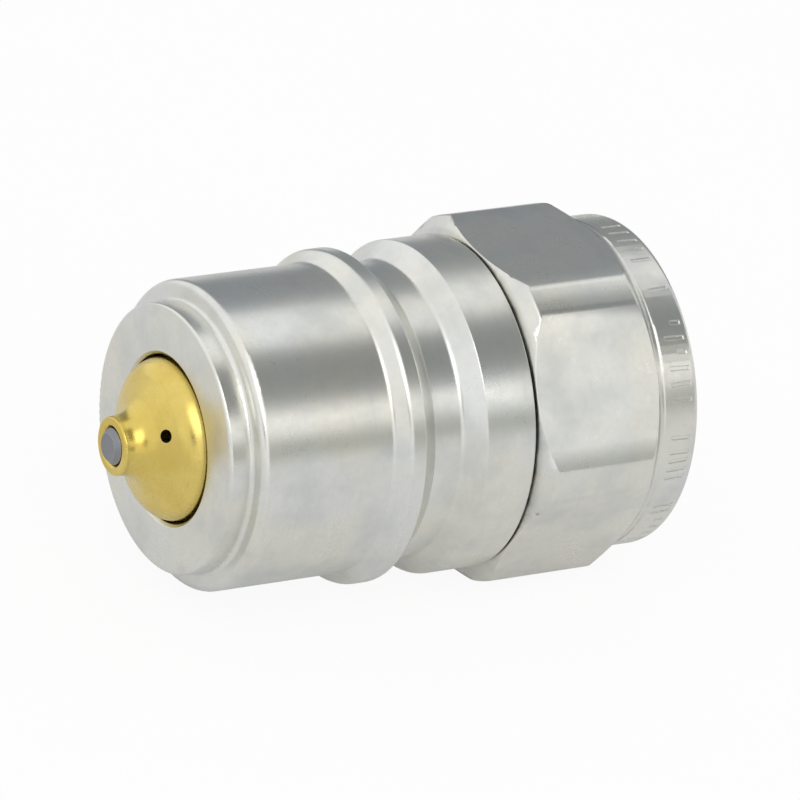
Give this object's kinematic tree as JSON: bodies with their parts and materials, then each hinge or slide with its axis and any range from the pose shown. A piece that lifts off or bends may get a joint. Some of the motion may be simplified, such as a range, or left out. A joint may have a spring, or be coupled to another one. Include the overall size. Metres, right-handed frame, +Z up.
{
  "type": "poppet quick coupling plug with female port",
  "caption": "Plug half of a poppet quick coupling, with a locking groove, a brass valve with a relief pin, and a hexagon with a female pipe port.",
  "frame": {"origin": "on the surface that the coupling lies on, under the middle of its overall length", "axes": "+X from the nose to the port along the coupling's axis, +Z up, one flat of the hexagon down"},
  "size_m": [0.0548, 0.035, 0.032],
  "materials": {
    "plated_steel": "satin zinc plating, passivated",
    "plated_steel_hexagon": "satin zinc plating on milled flats",
    "seal_rubber": "matte",
    "backup_plastic": "matte",
    "brass": "satin turned",
    "guide_steel": "turned",
    "bush_bronze": "satin",
    "spring_steel": "drawn wire",
    "pin_steel": "ground, slightly dark"
  },
  "bodies": {
    "housing": {"nose_body": "plated_steel", "port_adapter": "plated_steel_hexagon", "body_seal": "seal_rubber", "backup_ring": "backup_plastic", "valve_guide": "guide_steel", "guide_bush": "bush_bronze", "retaining_ring": "spring_steel", "main_spring": "spring_steel"},
    "main_valve": {"poppet": "brass", "poppet_seal": "seal_rubber", "poppet_stem": "brass", "relief_spring": "spring_steel"},
    "relief_valve": {"relief_pin": "pin_steel", "relief_seal": "seal_rubber"}
  },
  "joints": [
    {"name": "main_valve_slide", "type": "slide", "parent": "housing", "child": "main_valve", "axis": [1, 0, 0], "range_m": [0, 0.005], "stiffness_N_per_m": 3000, "springref_m": -0.006, "deforming": ["main_spring"]},
    {"name": "relief_valve_slide", "type": "slide", "parent": "main_valve", "child": "relief_valve", "axis": [1, 0, 0], "range_m": [0, 0.0012], "stiffness_N_per_m": 1500, "springref_m": -0.002, "deforming": ["relief_spring"]}
  ]
}
